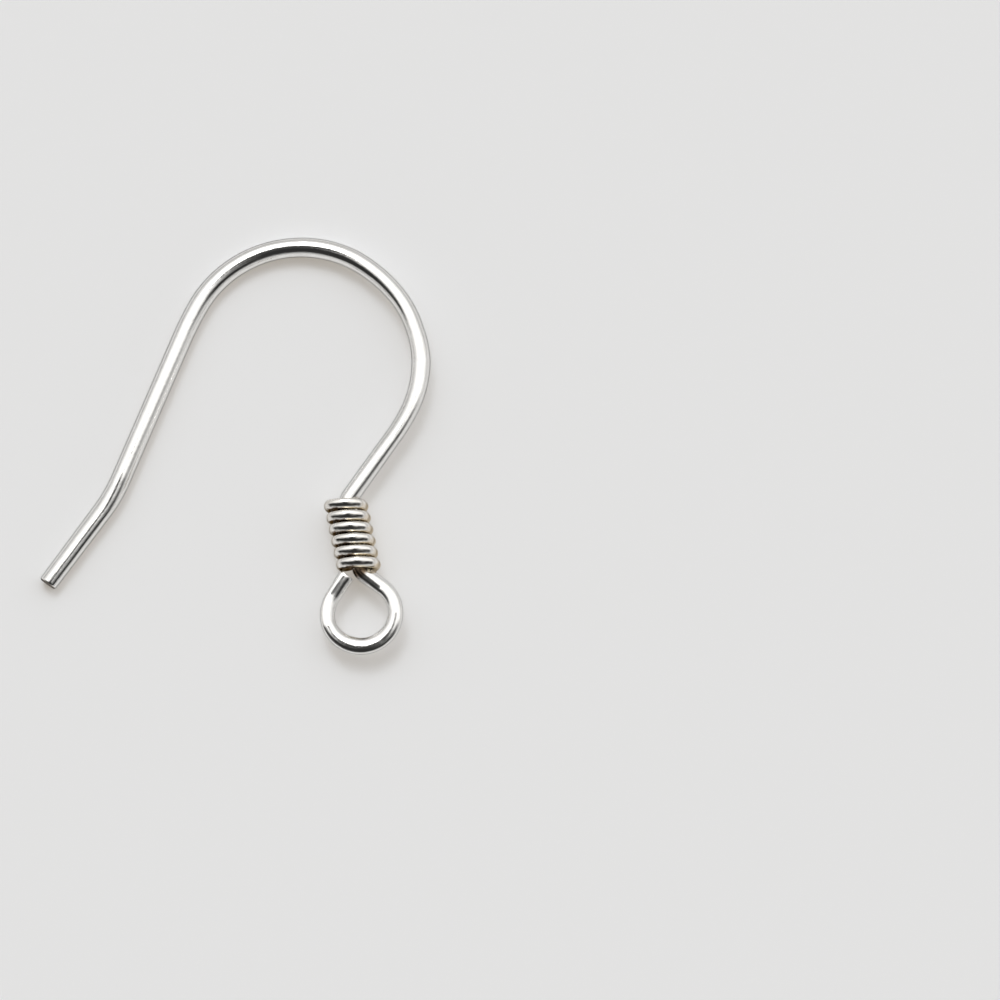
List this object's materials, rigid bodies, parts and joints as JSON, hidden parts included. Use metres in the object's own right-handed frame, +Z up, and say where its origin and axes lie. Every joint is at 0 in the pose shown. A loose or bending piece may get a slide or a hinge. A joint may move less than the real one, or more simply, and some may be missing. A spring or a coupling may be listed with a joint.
{
  "type": "ear wire",
  "caption": "Silver ear wire: an open hook with a bent tip, a straight neck in a close coil of thinner wire, and a small round loop below that holds a drop.",
  "frame": {"origin": "on the surface that the ear wire lies on, under the middle of its outline", "axes": "+Z up from the surface it lies on, +Y along its length from the loop and the tip towards the arch, +X across, from the back arm towards the coil"},
  "size_m": [0.0164, 0.0182, 0.0019],
  "materials": {
    "hook_wire": "polished sterling silver wire",
    "coil_wire": "polished sterling silver wire, slightly tarnished between the turns"
  },
  "bodies": {
    "root": {"ear_hook": "hook_wire", "coil_wrap": "coil_wire"}
  },
  "joints": []
}
